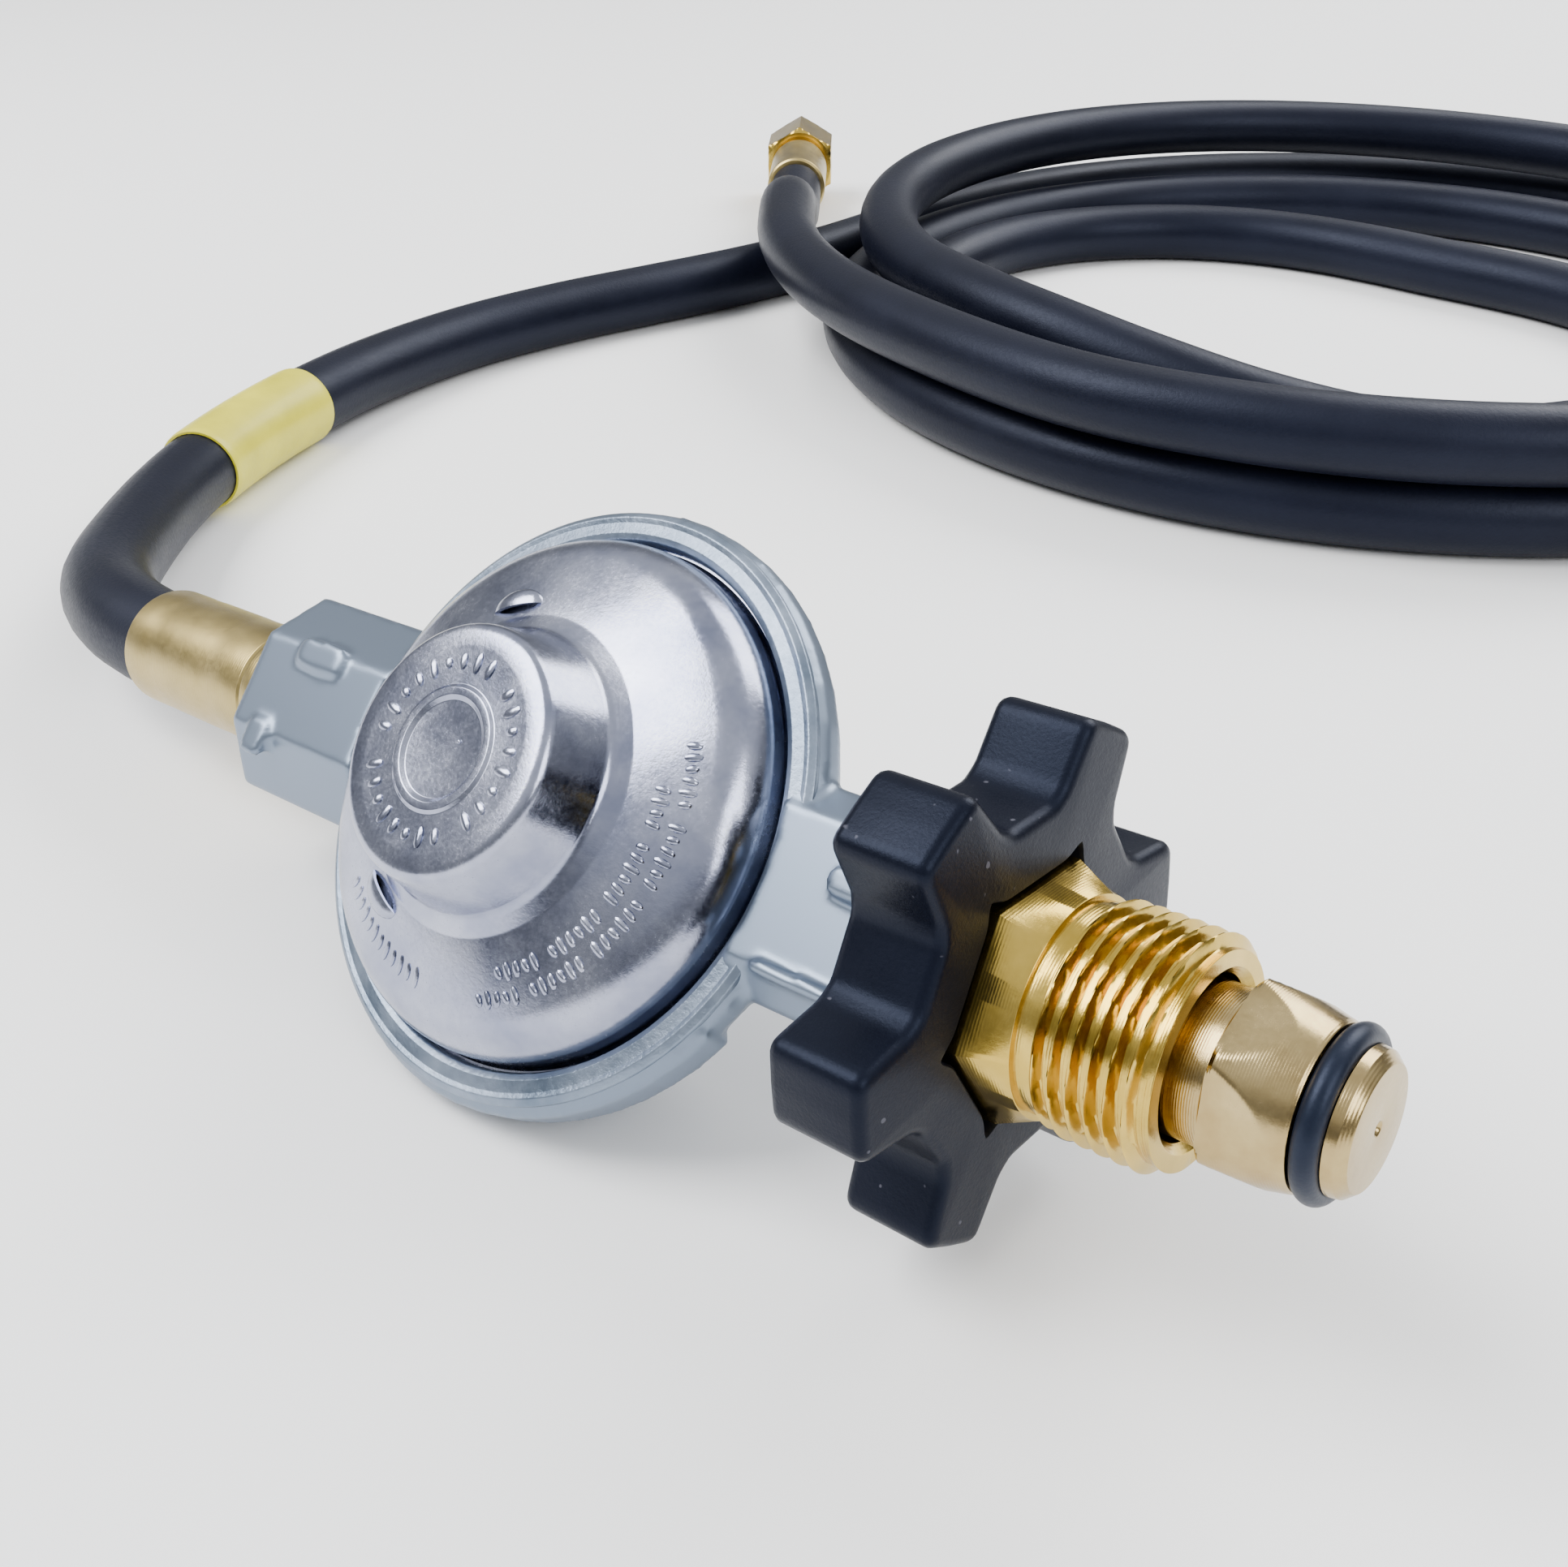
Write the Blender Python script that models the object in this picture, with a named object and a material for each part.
"""Low-pressure propane regulator with a POL handwheel inlet and a coiled gas hose.

The regulator's own frame has its origin where the flow axis meets the bonnet axis. Its +X runs
along the flow axis towards the POL nose, and its +Z runs along the bonnet axis, out of the cover.
An empty places that frame in the world, leaning back on its round rim as it does on a table.
Lengths below are millimetres; MM turns them into metres.
"""

import math

import bmesh
import bpy
import numpy as np

MM = 0.001

# Placement of the regulator: its ground point lies this far from the middle of its footprint.
AXIS_X, AXIS_Y, AXIS_HEIGHT = -1.719, 1.345, 24.233
LEAN_DEG = 48.0  # bonnet axis away from the vertical
NOSE_UP_DEG = 5.0  # flow axis rises towards the POL nose

GAP = 0.3  # clearance between pieces that touch on the real object

# Body casting
RIM_R = 33.4
RIM_TOP = 7.6
LIP_INNER_R = 29.9
LIP_BOTTOM = 6.5
SEAT_TOP = 3.9  # face that clamps the diaphragm
BAND_R = 34.0
BAND_LOW, BAND_HIGH = 3.6, 6.6
CHAMBER_R = 28.2
CHAMBER_FLOOR = 0.4
WELL_R = 19.0
WELL_FLOOR = -8.5
BODY_BOTTOM = -11.5
FOOT_R = 34.5
FOOT_LOW, FOOT_HIGH = 1.4, 6.6
FOOT_FROM_DEG, FOOT_TO_DEG = -144.0, -28.0
INLET_END = 46.2
OUTLET_END = -55.0
PORT_R = 6.6
PORT_FLOOR = 34.2  # inlet port starts outside the diaphragm clamp

# Bonnet pressing
SHEET = 0.9
TOWER_R = 13.6
TOWER_TOP = 25.1
TOWER_BASE_R = 15.6
DOME_R = 17.6
DOME_TOP = 16.4
WALL_R = 29.2
SHOULDER_R = 3.4
SHOULDER_HEIGHT = 10.0
FLANGE_R = 32.4
FLANGE_TOP = 6.2
VENT_R = 18.6
VENT_ANGLES_DEG = (114.0, 240.0)

# Diaphragm and what rides on it
DIAPHRAGM_LOW = SEAT_TOP + 0.25
DIAPHRAGM_THICK = 0.8
PLATE_LOW = DIAPHRAGM_LOW + DIAPHRAGM_THICK + GAP
PLATE_THICK = 1.0
STEM_R = 3.0
WAIST_R = 1.7
WAIST_LOW, WAIST_HIGH = -6.5, -3.9

# Lever train, in the plane of the flow and bonnet axes
PIVOT_X, PIVOT_Z = 14.0, -5.2
PIN_R = 0.9
LEVER_HALF = 3.6
PLUNGER_R = 2.4
DISC_BACK = 21.7
DISC_FRONT = 23.2
ORIFICE_TIP = 24.3
SCREW_X, SCREW_Y = 11.4, 6.4

# POL connection
THREAD_R = 22.35 / 2
THREAD_FRONT = 76.1
THREAD_BACK = 64.5
NUT_BACK = 47.8
HEX_FRONT = 62.9
HEX_FLATS = 22.2
HEX_FIRST_CORNER_DEG = 38.3
NUT_BORE_R = 7.65
SHANK_R = 7.2
NIPPLE_BACK = 39.0
NIPPLE_THREAD_R = 6.2
NOSE_BACK = 79.4
NOSE_R = 9.1
NOSE_FLATS = 16.3
NOSE_FIRST_CORNER_DEG = 0.0
GROOVE_BACK = 86.7
GROOVE_FRONT = 89.3
GROOVE_R = 5.4
TIP_FACE = 91.1
TIP_R = 5.6
TIP_BORE_R = 1.6
TIP_ORIFICE_R = 0.45
ORING_R = 7.95

# Handwheel
WHEEL_FRONT = 58.3
WHEEL_BACK = 47.8
WHEEL_R = 25.3
WHEEL_VALLEY_R = 17.2
WHEEL_LOBES = 6
WHEEL_LOBE_DEG = 39.7  # first lobe, about the flow axis
LOBE_HALF_WIDTH = 4.4
LOBE_ROOT_HALF_WIDTH = 6.2
WHEEL_EDGE = 1.1

# Hose: 5/16 inch bore, 14.3 mm outside
HOSE_R = 7.15
FERRULE_R = 8.2
FERRULE_START, FERRULE_END = 58.8, 87.5  # along the flow axis behind the bonnet axis
BARB_R = 3.0
INSERT_BORE_R = 2.0

# Hose routes in millimetres from the regulator's ground point: right, away and up
LEAD_ROUTE = [
    (-100.7, 0.9, 15.7), (-110.4, 3.5, 14.8), (-119.4, 7.9, 13.7), (-127.2, 13.6, 12.6),
    (-137.5, 22.8, 11.2), (-149.5, 35, 9.8), (-161, 50, 9), (-171, 68, 8.6), (-180, 90, 8.2),
    (-186.5, 112, 7.6), (-189.5, 140, 7.2), (-186.5, 167, 7.2), (-180.5, 192, 7.2),
    (-174.5, 218, 7.2), (-172.4, 231, 7.2),
]
TAIL_ROUTE = [
    (-171.0, 232, 22.0), (-177, 239.5, 20.6), (-184.5, 249, 16.0), (-192.7, 259.3, 12.0),
    (-200.8, 269.5, 11.0), (-209, 279.8, 12.8),
]
TUBE_SPACING = 2.2 * 2 * HOSE_R
STRAIGHT = 3.0  # straight length of hose at the ferrule
LABEL_START, LABEL_LENGTH, LABEL_WALL = 92.0, 40.0, 0.5  # start is measured along the lead

# Coil: four turns, the last lying on the others
COIL_X, COIL_Y, COIL_R = -43.2, 293.4, 134.1
COIL_HOLE_X, COIL_HOLE_Y, COIL_HOLE_R = -36.4, 264.0, 60.0
COIL_HEIGHT = 28.8

# End fitting, measured along its own axis from the tail's end
END_FERRULE_LENGTH = 28.0
END_FERRULE_R = 8.3
FLARE_NUT_BACK, FLARE_NUT_FRONT = 31.5, 52.0
FLARE_NUT_FLATS = 19.05
FLARE_NUT_BORE_R = 7.35
FLARE_HEAD_R = 7.0
FLARE_NECK_R = 4.6


def material(name, colour, roughness, metallic):
    """A Principled material."""
    made = bpy.data.materials.new(name)
    made.use_nodes = True
    shader = made.node_tree.nodes["Principled BSDF"]
    shader.inputs["Base Color"].default_value = (*colour, 1.0)
    shader.inputs["Roughness"].default_value = roughness
    shader.inputs["Metallic"].default_value = metallic
    made.diffuse_color = (*colour, 1.0)
    return made


def clear_scene():
    for obj in list(bpy.data.objects):
        bpy.data.objects.remove(obj, do_unlink=True)


def place(name, data, finish, parent=None, location=(0, 0, 0), turn=(0, 0, 0)):
    """Links an object holding data at a location in millimetres and a turn in degrees."""
    obj = bpy.data.objects.new(name, data)
    bpy.context.scene.collection.objects.link(obj)
    obj.parent = parent
    obj.location = [value * MM for value in location]
    obj.rotation_euler = [math.radians(value) for value in turn]
    if data is not None and finish is not None:
        data.materials.append(finish)
    return obj


def arc(centre, radius, start_deg, end_deg, steps):
    """Points on an arc as (along, out) pairs, ends included."""
    points = []
    for i in range(steps + 1):
        angle = math.radians(start_deg + (end_deg - start_deg) * i / steps)
        points.append((centre[0] + radius * math.cos(angle), centre[1] + radius * math.sin(angle)))
    return points


def finish_mesh(mesh_builder, name, sharp_deg=35):
    """Writes a bmesh in millimetres to a smooth-shaded mesh in metres, faces out."""
    bmesh.ops.scale(mesh_builder, vec=(MM, MM, MM), verts=mesh_builder.verts)
    bmesh.ops.recalc_face_normals(mesh_builder, faces=mesh_builder.faces)
    mesh = bpy.data.meshes.new(name)
    mesh_builder.to_mesh(mesh)
    mesh_builder.free()
    mesh.shade_smooth()
    mesh.set_sharp_from_angle(angle=math.radians(sharp_deg))
    return mesh


def turned_mesh(name, outline, segments):
    """A closed outline of (along, radius) points turned about Z."""
    made = bmesh.new()
    rings = []
    for along, radius in outline:
        if radius < 1e-6:
            rings.append([made.verts.new((0, 0, along))])
            continue
        ring = []
        for i in range(segments):
            angle = 2 * math.pi * i / segments
            ring.append(made.verts.new((radius * math.cos(angle), radius * math.sin(angle), along)))
        rings.append(ring)
    for first, second in zip(rings, rings[1:] + rings[:1]):
        if len(first) == 1 and len(second) == 1:
            continue
        for i in range(segments):
            j = (i + 1) % segments
            corners = [first[i % len(first)], first[j % len(first)]]
            corners += [second[j % len(second)], second[i % len(second)]]
            made.faces.new(list(dict.fromkeys(corners)))
    return finish_mesh(made, name)


def prism_mesh(name, outline, bottom, top, rounding=0.0, rounding_steps=2):
    """An outline of (x, y) points extruded from bottom to top, its end edges rounded."""
    made = bmesh.new()
    base = made.faces.new([made.verts.new((x, y, bottom)) for x, y in outline])
    lifted = bmesh.ops.extrude_face_region(made, geom=[base])
    top_verts = [item for item in lifted["geom"] if isinstance(item, bmesh.types.BMVert)]
    bmesh.ops.translate(made, verts=top_verts, vec=(0, 0, top - bottom))
    if rounding > 0:
        edges = [
            edge for edge in made.edges
            if abs(edge.verts[0].co.z - edge.verts[1].co.z) < 1e-6
        ]
        bmesh.ops.bevel(
            made, geom=edges, offset=rounding, segments=rounding_steps,
            profile=0.5, affect="EDGES",
        )
    return finish_mesh(made, name)


def hexagon(across_flats, first_corner_deg=30.0):
    radius = across_flats / 2 / math.cos(math.pi / 6)
    corners = []
    for i in range(6):
        angle = math.radians(first_corner_deg + 60 * i)
        corners.append((radius * math.cos(angle), radius * math.sin(angle)))
    return corners


def hexagon_sleeve_mesh(name, across_flats, start, end, first_corner_deg=30.0):
    """A thick sleeve with a hexagonal hole, for milling flats on a round piece."""
    made = bmesh.new()
    rings = []
    for flats, along in ((60.0, start), (60.0, end), (across_flats, end), (across_flats, start)):
        corners = hexagon(flats, first_corner_deg)
        rings.append([made.verts.new((x, y, along)) for x, y in corners])
    for first, second in zip(rings, rings[1:] + rings[:1]):
        for i in range(6):
            j = (i + 1) % 6
            made.faces.new([first[i], first[j], second[j], second[i]])
    return finish_mesh(made, name)


def helper(obj):
    """Marks an object as construction geometry."""
    obj.hide_render = True
    obj.display_type = "WIRE"
    return obj


def combine(target, other, operation):
    """Adds a Boolean with a helper object."""
    helper(other)
    step = target.modifiers.new(other.name, "BOOLEAN")
    step.operation = operation
    step.object = other
    return other


ALONG_FLOW = (0, 90, 0)  # turns a piece's own Z onto the regulator's X


def flow_piece(name, outline, finish, parent, segments=40):
    """A turned piece whose along values lie on the flow axis."""
    return place(name, turned_mesh(name, outline, segments), finish, parent, turn=ALONG_FLOW)


# ---------------------------------------------------------------- regulator

def across_flow(points):
    """Turns (upward, outward) points of a section across the flow axis into a flow piece's own x and y."""
    return [(-outward, upward) for upward, outward in points]


def chamfered_section(half_height, front, back, chamfer_height, chamfer_depth):
    """A rectangular boss section with its four corners cut."""
    flat = half_height - chamfer_height
    upper = [(flat, front), (half_height, front - chamfer_depth)]
    lower = [(half_height, chamfer_depth - back), (flat, -back)]
    quarter = upper + lower
    return across_flow(quarter + [(-upward, outward) for upward, outward in reversed(quarter)])


def body(frame, finish):
    """Die-cast lower casting with its rolled rim, inlet boss and outlet boss."""
    outline = [
        (BODY_BOTTOM, 0), (BODY_BOTTOM, 18.0), (BODY_BOTTOM + 1.5, 20.5), (-5.0, 23.0),
        (-1.5, 29.5), (1.2, 32.6), (BAND_LOW - 0.6, 33.4), (BAND_LOW, BAND_R),
        (BAND_HIGH - 0.4, BAND_R), (BAND_HIGH, RIM_R),
        (RIM_TOP - 0.6, RIM_R), (RIM_TOP, RIM_R - 0.6), (RIM_TOP, 0),
    ]
    casting = place("regulator_body", turned_mesh("regulator_body", outline, 48), finish, frame)
    bosses = (
        ("inlet_boss", chamfered_section(11.4, 8.2, 10.0, 3.4, 3.4), 20.0, INLET_END),
        ("outlet_boss", chamfered_section(13.0, 10.2, 10.5, 7.0, 5.6), OUTLET_END, -20.0),
    )
    for name, section, start, end in bosses:
        shape = prism_mesh(name, section, start, end, 0.8, 2)
        combine(casting, place(name, shape, finish, frame, turn=ALONG_FLOW), "UNION")
    combine(casting, foot_sector(frame, finish), "UNION")
    cavity = [
        (WELL_FLOOR, 0), (WELL_FLOOR, WELL_R), (CHAMBER_FLOOR, WELL_R), (CHAMBER_FLOOR, CHAMBER_R),
        (SEAT_TOP, CHAMBER_R), (SEAT_TOP, FLANGE_R + GAP), (LIP_BOTTOM, FLANGE_R + GAP),
        (LIP_BOTTOM, LIP_INNER_R), (RIM_TOP - 0.5, LIP_INNER_R), (RIM_TOP + 0.1, LIP_INNER_R + 0.6),
        (RIM_TOP + 9.0, LIP_INNER_R + 0.6), (RIM_TOP + 9.0, 0),
    ]
    hollow = place("body_cavity", turned_mesh("body_cavity", cavity, 48), finish, frame)
    combine(casting, hollow, "DIFFERENCE")
    for name, start, end, radius in (
        ("inlet_port", PORT_FLOOR, INLET_END + 1, PORT_R),
        ("inlet_passage", 12.0, PORT_FLOOR + 1, PLUNGER_R + 0.7),
        ("outlet_port", OUTLET_END - 1, -44.0, PORT_R),
        ("outlet_passage", -45.0, -12.0, 4.2),
    ):
        drill = [(start, 0), (start, radius), (end, radius), (end, 0)]
        combine(casting, flow_piece(name, drill, finish, frame, 24), "DIFFERENCE")
    for side in (-1, 1):
        post_middle = side * (SCREW_Y + 0.1)
        section = [(-6.6, -2.1), (2.0, -2.1), (2.0, 2.1), (-6.6, 2.1)]
        section = [(PIVOT_X + x, post_middle + y) for x, y in section]
        top = PIVOT_Z - PIN_R - GAP
        post = place("pin_post", prism_mesh("pin_post", section, WELL_FLOOR - 1, top), finish, frame)
        combine(casting, post, "UNION")
        hole = [(BODY_BOTTOM + 1.4, 0), (BODY_BOTTOM + 1.4, 1.3), (0, 1.3), (0, 0)]
        drill = place("screw_hole", turned_mesh("screw_hole", hole, 16), finish, frame,
                      (SCREW_X, side * SCREW_Y, 0))
        combine(casting, drill, "DIFFERENCE")
    return casting


def foot_sector(frame, finish):
    """Raised cast band round the underside of the rim, which the regulator rests on."""
    made = bmesh.new()
    steps = 18
    profile = [
        (FOOT_LOW, 31.8), (FOOT_LOW, FOOT_R - 0.8), (FOOT_LOW + 0.8, FOOT_R),
        (FOOT_HIGH - 0.7, FOOT_R), (FOOT_HIGH, FOOT_R - 0.7), (FOOT_HIGH, 31.8),
    ]
    rings = []
    for i in range(steps + 1):
        angle = math.radians(FOOT_FROM_DEG + (FOOT_TO_DEG - FOOT_FROM_DEG) * i / steps)
        ring = []
        for along, radius in profile:
            ring.append(made.verts.new((radius * math.cos(angle), radius * math.sin(angle), along)))
        rings.append(ring)
    for first, second in zip(rings, rings[1:]):
        for k in range(len(profile)):
            n = (k + 1) % len(profile)
            made.faces.new([first[k], first[n], second[n], second[k]])
    made.faces.new(rings[0])
    made.faces.new(rings[-1])
    return place("foot_sector", finish_mesh(made, "foot_sector"), finish, frame)


def bonnet(frame, finish):
    """Pressed steel cover: flange, wall, dome and spring tower, one sheet thick."""
    shoulder = (SHOULDER_HEIGHT, WALL_R - SHOULDER_R)
    outside = [(FLANGE_TOP, FLANGE_R), (FLANGE_TOP, WALL_R + 0.4), (FLANGE_TOP + 0.4, WALL_R)]
    outside += arc(shoulder, SHOULDER_R, 90, 24, 4)
    outside += [(DOME_TOP - 0.6, 19.8), (DOME_TOP, DOME_R), (DOME_TOP + 1.1, TOWER_BASE_R)]
    outside += [(TOWER_TOP - 1.6, TOWER_R)]
    outside += arc((TOWER_TOP - 1.5, TOWER_R - 1.5), 1.5, 75, 0, 3)
    outside += [(TOWER_TOP, 0)]
    inside = [(TOWER_TOP - SHEET, 0), (TOWER_TOP - SHEET, TOWER_R - 1.9), (TOWER_TOP - 2.2, TOWER_R - SHEET)]
    inside += [(DOME_TOP + 1.0, TOWER_BASE_R - SHEET), (DOME_TOP - SHEET, DOME_R - 0.3)]
    inside += [(DOME_TOP - 0.6 - SHEET, 19.6)]
    inside += arc(shoulder, SHOULDER_R - SHEET, 24, 90, 3)
    inside += [(FLANGE_TOP - SHEET, WALL_R - SHEET), (FLANGE_TOP - SHEET, FLANGE_R)]
    cover = place("bonnet", turned_mesh("bonnet", outside + inside, 44), finish, frame)
    for angle in VENT_ANGLES_DEG:
        turn = math.radians(angle)
        shape = prism_mesh("vent_slot", [(-0.5, -2.8), (0.5, -2.8), (0.5, 2.8), (-0.5, 2.8)], 6.0, 20.0)
        middle = (VENT_R * math.cos(turn), VENT_R * math.sin(turn), 0)
        combine(cover, place("vent_slot", shape, finish, frame, middle, (0, 0, angle)), "DIFFERENCE")
    return cover


def diaphragm(frame, finish):
    """Moulded rubber disc with one convolution, its edge clamped under the bonnet."""
    edge = FLANGE_R - 0.2
    hole = STEM_R + 1.2
    wave_r = 25.0
    high = DIAPHRAGM_LOW + DIAPHRAGM_THICK
    lower_wave = arc((DIAPHRAGM_LOW, wave_r), 1.4, 90, -90, 4)
    upper_wave = arc((high, wave_r), 2.1, -90, 90, 4)
    outline = [(DIAPHRAGM_LOW, edge)] + lower_wave + [(DIAPHRAGM_LOW, hole), (high, hole)]
    outline += upper_wave + [(high, edge)]
    return place("diaphragm", turned_mesh("diaphragm", outline, 32), finish, frame)


def diaphragm_stack(frame, steel, brass):
    """The plate, stem, relief spring and its retainer that ride on the diaphragm."""
    plate_top = PLATE_LOW + PLATE_THICK
    plate = [
        (PLATE_LOW, STEM_R + 1.2), (PLATE_LOW, 20.8), (plate_top + 0.8, 21.6), (plate_top + 0.8, 20.4),
        (plate_top, 19.8), (plate_top, STEM_R + 1.2),
    ]
    place("diaphragm_plate", turned_mesh("diaphragm_plate", plate, 32), steel, frame)
    flange_low, flange_high = SEAT_TOP - 1.6, SEAT_TOP - 0.1
    shank_r = STEM_R - 0.8
    stem = [
        (WAIST_LOW - 1.4, 0), (WAIST_LOW - 1.4, STEM_R), (WAIST_LOW, STEM_R), (WAIST_LOW, WAIST_R),
        (WAIST_HIGH, WAIST_R), (WAIST_HIGH, STEM_R), (flange_low, STEM_R), (flange_low, 6.0),
        (flange_high, 6.0), (flange_high, STEM_R), (plate_top, STEM_R), (plate_top + 0.8, shank_r),
        (plate_top + 8.0, shank_r), (plate_top + 8.6, shank_r - 0.5), (plate_top + 8.6, 0),
    ]
    place("diaphragm_stem", turned_mesh("diaphragm_stem", stem, 16), brass, frame)
    wire = 0.45
    retainer_low = plate_top + 5.8
    helix("relief_spring", 4.6, wire, plate_top + wire + GAP, retainer_low - wire - GAP, 4, 9,
          steel, frame)
    retainer = [
        (retainer_low, shank_r + GAP), (retainer_low, 5.6), (retainer_low + 1.2, 5.6),
        (retainer_low + 1.2, shank_r + GAP),
    ]
    place("relief_retainer", turned_mesh("relief_retainer", retainer, 20), steel, frame)


def helix(name, radius, wire_r, bottom, top, turns, steps_per_turn, finish, parent):
    """A compression spring as one round wire."""
    curve = wire_curve(name, wire_r, 1)
    count = int(turns * steps_per_turn) + 1
    route = []
    for i in range(count):
        angle = 2 * math.pi * i / steps_per_turn
        height = bottom + (top - bottom) * i / (count - 1)
        route.append((radius * math.cos(angle), radius * math.sin(angle), height))
    lay_wire(curve, route)
    return place(name, curve, finish, parent)


def wire_curve(name, radius, resolution):
    """An empty curve that becomes a round bar with closed ends."""
    curve = bpy.data.curves.new(name, "CURVE")
    curve.dimensions = "3D"
    curve.bevel_depth = radius * MM
    curve.bevel_resolution = resolution
    curve.use_fill_caps = True
    return curve


def lay_wire(curve, route):
    spline = curve.splines.new("POLY")
    spline.points.add(len(route) - 1)
    for point, place_mm in zip(spline.points, route):
        point.co = (*[value * MM for value in place_mm], 1)


def main_spring(frame, finish):
    """The spring between the diaphragm plate and the tower."""
    wire = 0.75
    bottom = PLATE_LOW + PLATE_THICK + wire + GAP
    top = TOWER_TOP - SHEET - wire - GAP
    return helix("main_spring", 10.6, wire, bottom, top, 4.5, 12, finish, frame)


def cross_pin(name, radius, half_length, finish, frame):
    """A round bar through the lever's pivot, across the flow axis."""
    outline = [(-half_length, 0), (-half_length, radius), (half_length, radius), (half_length, 0)]
    pivot = (PIVOT_X, 0, PIVOT_Z)
    return place(name, turned_mesh(name, outline, 16), finish, frame, pivot, (90, 0, 0))


def lever(frame, finish):
    """Forked lever: its long arm straddles the stem's waist and its finger works the plunger."""
    outline = [
        (-17.4, 0.5), (-17.4, -0.5), (-2.0, -0.5), (-1.2, -1.9), (1.2, -1.9), (2.0, 0.0),
        (1.4, 1.6), (0.7, 2.2), (0.7, 4.1), (1.0, 4.4), (1.0, 6.0), (-1.0, 6.0), (-1.0, 4.4),
        (-0.7, 4.1), (-0.7, 2.2), (-1.4, 1.6), (-2.0, 0.5),
    ]
    shape = prism_mesh("lever", outline, -LEVER_HALF, LEVER_HALF)
    arm = place("lever", shape, finish, frame, (PIVOT_X, 0, PIVOT_Z), (90, 0, 0))
    combine(arm, cross_pin("lever_eye", PIN_R + GAP, LEVER_HALF + 1, finish, frame), "DIFFERENCE")
    slot_half = WAIST_R + 0.4
    slot = [(-5, -slot_half), (2.4, -slot_half), (2.4, slot_half), (-5, slot_half)]
    fork = place("fork_slot", prism_mesh("fork_slot", slot, WAIST_LOW, WAIST_HIGH), finish, frame)
    combine(arm, fork, "DIFFERENCE")
    return arm


def lever_mounting(frame, finish):
    """The lever's pin and the two screws that clamp it on its posts."""
    cross_pin("lever_pin", PIN_R, SCREW_Y + 1.8, finish, frame)
    head_low = PIVOT_Z + PIN_R + GAP
    for name, side in (("pin_screw_near", -1), ("pin_screw_far", 1)):
        outline = [
            (WELL_FLOOR - 0.8, 0), (WELL_FLOOR - 0.8, 0.9), (head_low, 0.9), (head_low, 2.3),
            (head_low + 1.0, 2.3), (head_low + 1.4, 1.7), (head_low + 1.4, 0),
        ]
        place(name, turned_mesh(name, outline, 16), finish, frame, (SCREW_X, side * SCREW_Y, 0))


def valve(frame, brass, rubber, bronze):
    """The plunger with its rubber seat, the inlet orifice it closes and the inlet filter."""
    rod = [(9.0, 0), (9.0, PLUNGER_R - 0.4), (9.4, PLUNGER_R), (DISC_BACK - GAP, PLUNGER_R), (DISC_BACK - GAP, 0)]
    plunger = flow_piece("valve_plunger", rod, brass, frame, 24)
    half = 1.35
    notch = [(PIVOT_X - half, -4), (PIVOT_X + half, -4), (PIVOT_X + half, 4), (PIVOT_X - half, 4)]
    cut = place("plunger_notch", prism_mesh("plunger_notch", notch, -4.0, 1.3), brass, frame)
    combine(plunger, cut, "DIFFERENCE")
    disc = [(DISC_BACK, 0), (DISC_BACK, PLUNGER_R), (DISC_FRONT, PLUNGER_R), (DISC_FRONT, 0)]
    flow_piece("valve_seat_disc", disc, rubber, frame, 24)
    bore = 1.2
    orifice = [
        (ORIFICE_TIP, bore), (ORIFICE_TIP, 1.7), (26.0, 2.7), (PORT_FLOOR + GAP, 2.7),
        (PORT_FLOOR + GAP, NIPPLE_THREAD_R),
        (NIPPLE_BACK - 1.2, NIPPLE_THREAD_R), (NIPPLE_BACK - 1.2, bore),
    ]
    flow_piece("inlet_orifice", orifice, brass, frame, 24)
    mesh_plug = [(40.0, 0), (40.0, 2.6), (45.0, 2.5), (49.0, 1.5), (49.6, 0)]
    flow_piece("inlet_filter", mesh_plug, bronze, frame, 16)


def pol_nipple(frame, finish):
    """Nipple with its ball nose, six milled flats, O-ring groove and small orifice."""
    outline = [
        (NIPPLE_BACK, 3.0), (NIPPLE_BACK, NIPPLE_THREAD_R), (INLET_END + 0.4, NIPPLE_THREAD_R),
        (INLET_END + 0.4, SHANK_R),
        (NOSE_BACK - 0.6, SHANK_R), (NOSE_BACK, SHANK_R + 0.2), (NOSE_BACK, NOSE_R - 0.3),
        (NOSE_BACK + 0.35, NOSE_R), (NOSE_BACK + 2.7, 8.95), (NOSE_BACK + 4.6, 8.65),
        (NOSE_BACK + 6.2, 8.2), (GROOVE_BACK, 7.8),
        (GROOVE_BACK, GROOVE_R), (GROOVE_FRONT, GROOVE_R), (GROOVE_FRONT, 6.6),
        (TIP_FACE - 0.9, 6.45), (TIP_FACE, TIP_R),
        (TIP_FACE, TIP_ORIFICE_R), (TIP_FACE - 2.0, TIP_ORIFICE_R), (TIP_FACE - 3.2, TIP_BORE_R),
        (56.0, TIP_BORE_R), (54.0, 3.0),
    ]
    nipple = flow_piece("pol_nipple", outline, finish, frame, 32)
    sleeve = hexagon_sleeve_mesh("nose_flats", NOSE_FLATS, NOSE_BACK - 0.2, GROOVE_BACK - 0.4,
                                 NOSE_FIRST_CORNER_DEG)
    combine(nipple, place("nose_flats", sleeve, finish, frame, turn=ALONG_FLOW), "DIFFERENCE")
    return nipple


def nose_o_ring(frame, finish):
    middle = (GROOVE_BACK + GROOVE_FRONT) / 2
    wire = (GROOVE_FRONT - GROOVE_BACK) / 2 - 0.12
    centre_r = ORING_R - wire
    outline = arc((middle, centre_r), wire, 0, 360, 8)[:-1]
    return flow_piece("nose_o_ring", outline, finish, frame, 28)


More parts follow.
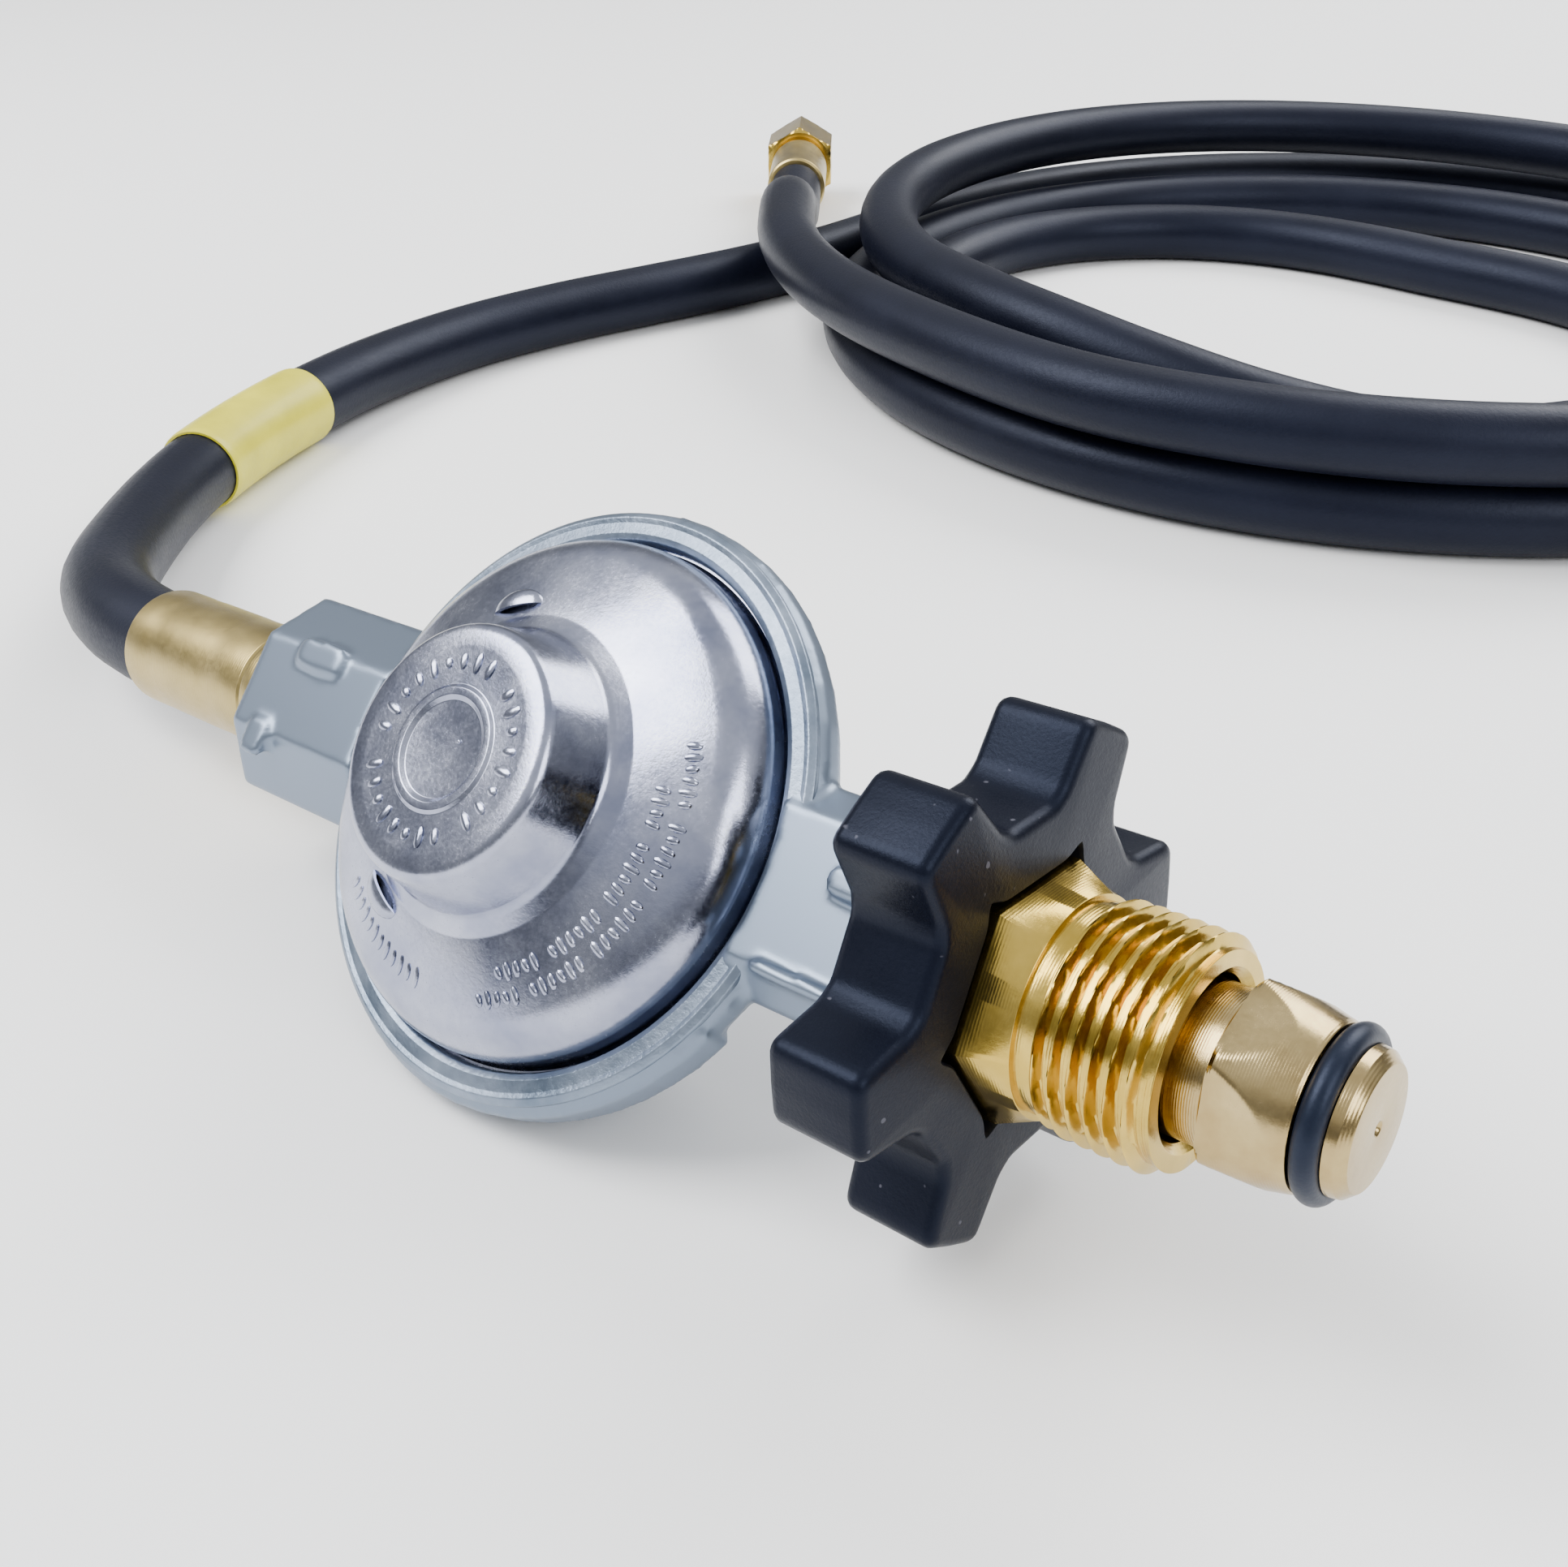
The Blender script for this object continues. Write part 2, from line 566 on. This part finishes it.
def pol_nut(hub, finish):
    """Left-hand POL nut: hexagon, relief groove and threaded nose."""
    corner_r = HEX_FLATS / 2 / math.cos(math.pi / 6)
    outline = [
        (NUT_BACK, NUT_BORE_R), (NUT_BACK, corner_r), (HEX_FRONT - 1.7, corner_r), (HEX_FRONT, 10.9),
        (HEX_FRONT, 10.2), (THREAD_BACK, 10.2), (THREAD_BACK + 0.7, THREAD_R),
        (THREAD_FRONT - 0.9, THREAD_R), (THREAD_FRONT, THREAD_R - 1.1),
        (THREAD_FRONT, NUT_BORE_R + 0.7), (THREAD_FRONT - 0.7, NUT_BORE_R),
    ]
    nut = flow_piece("pol_nut", outline, finish, hub, 32)
    sleeve = hexagon_sleeve_mesh(
        "nut_flats", HEX_FLATS, NUT_BACK - 1, HEX_FRONT + 0.3, HEX_FIRST_CORNER_DEG)
    combine(nut, place("nut_flats", sleeve, finish, hub, turn=ALONG_FLOW), "DIFFERENCE")
    return nut


def lobe_outline():
    """The handwheel's outline: square-tipped lobes with rounded corners and round valleys."""
    points = []
    for lobe in range(WHEEL_LOBES):
        middle = math.radians(WHEEL_LOBE_DEG + 360 / WHEEL_LOBES * lobe)
        shape = []
        shape += [(WHEEL_VALLEY_R * 0.985, -LOBE_ROOT_HALF_WIDTH)]
        shape += [(WHEEL_VALLEY_R + 1.4, -LOBE_ROOT_HALF_WIDTH + 0.9)]
        tip = arc((WHEEL_R - 1.3, LOBE_HALF_WIDTH - 1.3), 1.3, 0, 90, 2)
        shape += [(along, -out) for along, out in reversed(tip)]
        shape += [(WHEEL_R + 0.12, 0)]
        shape += tip
        shape += [(WHEEL_VALLEY_R + 1.4, LOBE_ROOT_HALF_WIDTH - 0.9)]
        shape += [(WHEEL_VALLEY_R * 0.985, LOBE_ROOT_HALF_WIDTH)]
        for along, across in shape:
            x = along * math.cos(middle) - across * math.sin(middle)
            y = along * math.sin(middle) + across * math.cos(middle)
            points.append((x, y))
    return points


def handwheel(hub, finish):
    """Six-lobed plastic wheel over the nut's hexagon."""
    shape = prism_mesh("handwheel", lobe_outline(), WHEEL_BACK, WHEEL_FRONT, WHEEL_EDGE, 2)
    wheel = place("handwheel", shape, finish, hub, turn=ALONG_FLOW)
    socket = hexagon(HEX_FLATS + 2 * GAP, HEX_FIRST_CORNER_DEG)
    hole_shape = prism_mesh("wheel_hole", socket, WHEEL_BACK - 1, WHEEL_FRONT + 1)
    combine(wheel, place("wheel_hole", hole_shape, finish, hub, turn=ALONG_FLOW), "DIFFERENCE")
    return wheel


# ---------------------------------------------------------------- hose

def sleeve_outline(start, end, radius, inner_r):
    """A crimped sleeve with eased ends and a shallow crimp groove."""
    step = 1 if end > start else -1
    length = abs(end - start)
    stations = [(0.0, radius - 0.9), (0.9, radius)]
    middle = 0.55 * length
    stations += [(middle - 2.4, radius), (middle - 1.6, radius - 0.35)]
    stations += [(middle + 1.6, radius - 0.35), (middle + 2.4, radius)]
    stations += [(length - 0.9, radius), (length, radius - 0.9)]
    outer = [(start + step * along, around) for along, around in stations]
    return outer + [(end, inner_r), (start, inner_r)]


def hose_end(frame, brass):
    """The brass insert in the outlet port and the crimped ferrule over its barb."""
    insert = [
        (-48.0, INSERT_BORE_R), (-48.0, NIPPLE_THREAD_R), (OUTLET_END - GAP, NIPPLE_THREAD_R),
        (OUTLET_END - GAP, 8.4), (0.3 - FERRULE_START, 8.4), (0.3 - FERRULE_START, BARB_R),
        (-80.0, BARB_R), (-80.0, INSERT_BORE_R),
    ]
    flow_piece("outlet_insert", insert, brass, frame, 24)
    sleeve = sleeve_outline(-FERRULE_START, -FERRULE_END, FERRULE_R, BARB_R + 0.4)
    flow_piece("regulator_ferrule", sleeve, brass, frame, 28)


def smooth_route(points, spacing):
    """Evenly spaced points on a smooth curve through the route's own points."""
    route = np.array(points, float)
    padded = np.vstack([2 * route[0] - route[1], route, 2 * route[-1] - route[-2]])
    fine = []
    for a, b, c, d in zip(padded, padded[1:], padded[2:], padded[3:]):
        for t in np.arange(0, 1, 0.05):
            bend = (2 * a - 5 * b + 4 * c - d) * t**2 + (3 * b - a - 3 * c + d) * t**3
            fine.append(0.5 * (2 * b + (c - a) * t + bend))
    fine = np.array(fine + [route[-1]])
    along = np.concatenate([[0], np.cumsum(np.linalg.norm(np.diff(fine, axis=0), axis=1))])
    stations = np.linspace(0, along[-1], round(along[-1] / spacing) + 1)
    return np.stack([np.interp(stations, along, fine[:, k]) for k in range(3)], axis=1)


def stretch(route, start, end):
    """The part of a polyline between two distances along it."""
    along = np.concatenate([[0], np.cumsum(np.linalg.norm(np.diff(route, axis=0), axis=1))])
    inner = [distance for distance in along if start < distance < end]
    stations = [start] + inner + [end]
    return np.stack([np.interp(stations, along, route[:, k]) for k in range(3)], axis=1)


def hose_tube(name, route, finish, table):
    curve = wire_curve(name, HOSE_R, 3)
    lay_wire(curve, route)
    return place(name, curve, finish, table)


def hose_sleeve(name, route, inner_r, outer_r, finish, table):
    """A thin sleeve round the hose between the given stations of its route."""
    made = bmesh.new()
    sides = 16
    rings = []
    for i, middle in enumerate(route):
        ahead = route[min(i + 1, len(route) - 1)] - route[max(i - 1, 0)]
        across = np.cross(ahead, (0, 0, 1))
        across /= np.linalg.norm(across)
        above = np.cross(across, ahead)
        above /= np.linalg.norm(above)
        for radius in (inner_r, outer_r):
            ring = []
            for k in range(sides):
                angle = 2 * math.pi * k / sides
                ring.append(made.verts.new(
                    middle + radius * (math.cos(angle) * across + math.sin(angle) * above)))
            rings.append(ring)
    inner, outer = rings[0::2], rings[1::2]
    loop = inner + outer[::-1]
    for first, second in zip(loop, loop[1:] + loop[:1]):
        for k in range(sides):
            n = (k + 1) % sides
            made.faces.new([first[k], first[n], second[n], second[k]])
    return place(name, finish_mesh(made, name), finish, table)


def hose_coil(table, finish):
    """The outer shape of the coiled turns: a ring with an off-centre hole."""
    disc = [(0, 0), (0, COIL_R - 4), (1.2, COIL_R - 1), (HOSE_R, COIL_R), (13.5, COIL_R - 1)]
    disc += [(COIL_HEIGHT - 7, COIL_R - 4), (COIL_HEIGHT - 1.2, COIL_R - 10), (COIL_HEIGHT, COIL_R - 14)]
    disc += [(COIL_HEIGHT, 0)]
    coil = place("hose_coil", turned_mesh("hose_coil", disc, 56), finish, table, (COIL_X, COIL_Y, 0))
    hole = [(-1, 0), (-1, COIL_HOLE_R), (COIL_HEIGHT + 1, COIL_HOLE_R), (COIL_HEIGHT + 1, 0)]
    middle = (COIL_HOLE_X, COIL_HOLE_Y, 0)
    cut = place("coil_hole", turned_mesh("coil_hole", hole, 40), finish, table, middle)
    combine(coil, cut, "DIFFERENCE")
    return coil


def end_fitting(table, hub_turn, brass):
    """Crimped ferrule, flared stem and the swivel nut on the hose's far end."""
    fitting = place("fitting_frame", None, None, table, TAIL_ROUTE[-1], hub_turn)
    sleeve = sleeve_outline(GAP, END_FERRULE_LENGTH, END_FERRULE_R, BARB_R + 0.4)
    flow_piece("end_ferrule", sleeve, brass, fitting, 24)
    head_back = FLARE_NUT_BACK + 3.2
    stem = [
        (6.0, INSERT_BORE_R), (6.0, BARB_R), (END_FERRULE_LENGTH + GAP, BARB_R),
        (END_FERRULE_LENGTH + GAP, 7.6), (FLARE_NUT_BACK - GAP, 7.6), (FLARE_NUT_BACK - GAP, FLARE_NECK_R),
        (head_back, FLARE_NECK_R), (head_back, FLARE_HEAD_R), (head_back + 1.4, FLARE_HEAD_R),
        (head_back + 5.4, 3.0), (head_back + 5.4, INSERT_BORE_R),
    ]
    flow_piece("end_stem", stem, brass, fitting, 20)
    corner_r = FLARE_NUT_FLATS / 2 / math.cos(math.pi / 6)
    nut = [
        (FLARE_NUT_BACK, FLARE_NECK_R + 0.4), (FLARE_NUT_BACK, corner_r - 0.8),
        (FLARE_NUT_BACK + 1.2, corner_r), (FLARE_NUT_FRONT - 1.2, corner_r),
        (FLARE_NUT_FRONT, corner_r - 0.8), (FLARE_NUT_FRONT, FLARE_NUT_BORE_R + 0.5),
        (FLARE_NUT_FRONT - 0.6, FLARE_NUT_BORE_R), (head_back - GAP, FLARE_NUT_BORE_R),
        (head_back - GAP, FLARE_NECK_R + 0.4),
    ]
    flare_nut = flow_piece("flare_nut", nut, brass, fitting, 24)
    sleeve = hexagon_sleeve_mesh(
        "flare_nut_flats", FLARE_NUT_FLATS, FLARE_NUT_BACK - 1, FLARE_NUT_FRONT + 1, 0.0)
    combine(flare_nut, place("flare_nut_flats", sleeve, brass, fitting, turn=ALONG_FLOW), "DIFFERENCE")
    return fitting


def hose(table, rubber, paper, brass):
    """The lead from the regulator, its label, the coil, the tail and the fitting on its end."""
    flow = np.array((math.cos(math.radians(NOSE_UP_DEG)), 0, math.sin(math.radians(NOSE_UP_DEG))))
    mouth = (0, 0, AXIS_HEIGHT) - (FERRULE_END + GAP) * flow
    straight_end = mouth - STRAIGHT * flow
    lead = np.vstack([mouth, smooth_route([straight_end] + LEAD_ROUTE, TUBE_SPACING)])
    hose_tube("hose_lead", lead, rubber, table)
    label = stretch(lead, LABEL_START, LABEL_START + LABEL_LENGTH)
    hose_sleeve("hose_label", label, HOSE_R + GAP, HOSE_R + GAP + LABEL_WALL, paper, table)
    hose_coil(table, rubber)
    tail = smooth_route(TAIL_ROUTE, TUBE_SPACING)
    hose_tube("hose_tail", tail, rubber, table)
    across, away, up = tail[-1] - tail[-2]
    rise = math.degrees(math.atan2(up, math.hypot(across, away)))
    heading = math.degrees(math.atan2(away, across))
    end_fitting(table, (0, -rise, heading), brass)


def main():
    clear_scene()
    zinc = material("die_cast_zinc", (0.50, 0.55, 0.60), 0.42, 0.85)
    plated = material("plated_steel_cover", (0.62, 0.63, 0.70), 0.25, 1.0)
    steel = material("steel", (0.45, 0.45, 0.47), 0.35, 1.0)
    rubber = material("rubber", (0.03, 0.033, 0.04), 0.6, 0.0)
    brass = material("brass", (0.75, 0.55, 0.25), 0.28, 1.0)
    bronze = material("sintered_bronze", (0.45, 0.30, 0.18), 0.7, 1.0)
    plastic = material("black_plastic", (0.02, 0.022, 0.035), 0.45, 0.0)
    paper = material("yellow_label", (0.75, 0.70, 0.18), 0.6, 0.0)
    frame = place("regulator_frame", None, None, None, (AXIS_X, AXIS_Y, AXIS_HEIGHT),
                  (LEAN_DEG, -NOSE_UP_DEG, 0))
    hub = place("nut_hub", None, None, frame)
    table = place("table_frame", None, None, None, (AXIS_X, AXIS_Y, 0))
    body(frame, zinc)
    bonnet(frame, plated)
    diaphragm(frame, rubber)
    diaphragm_stack(frame, steel, brass)
    main_spring(frame, steel)
    lever(frame, steel)
    lever_mounting(frame, steel)
    valve(frame, brass, rubber, bronze)
    pol_nipple(frame, brass)
    nose_o_ring(frame, rubber)
    pol_nut(hub, brass)
    handwheel(hub, plastic)
    hose_end(frame, brass)
    hose(table, rubber, paper, brass)


main()
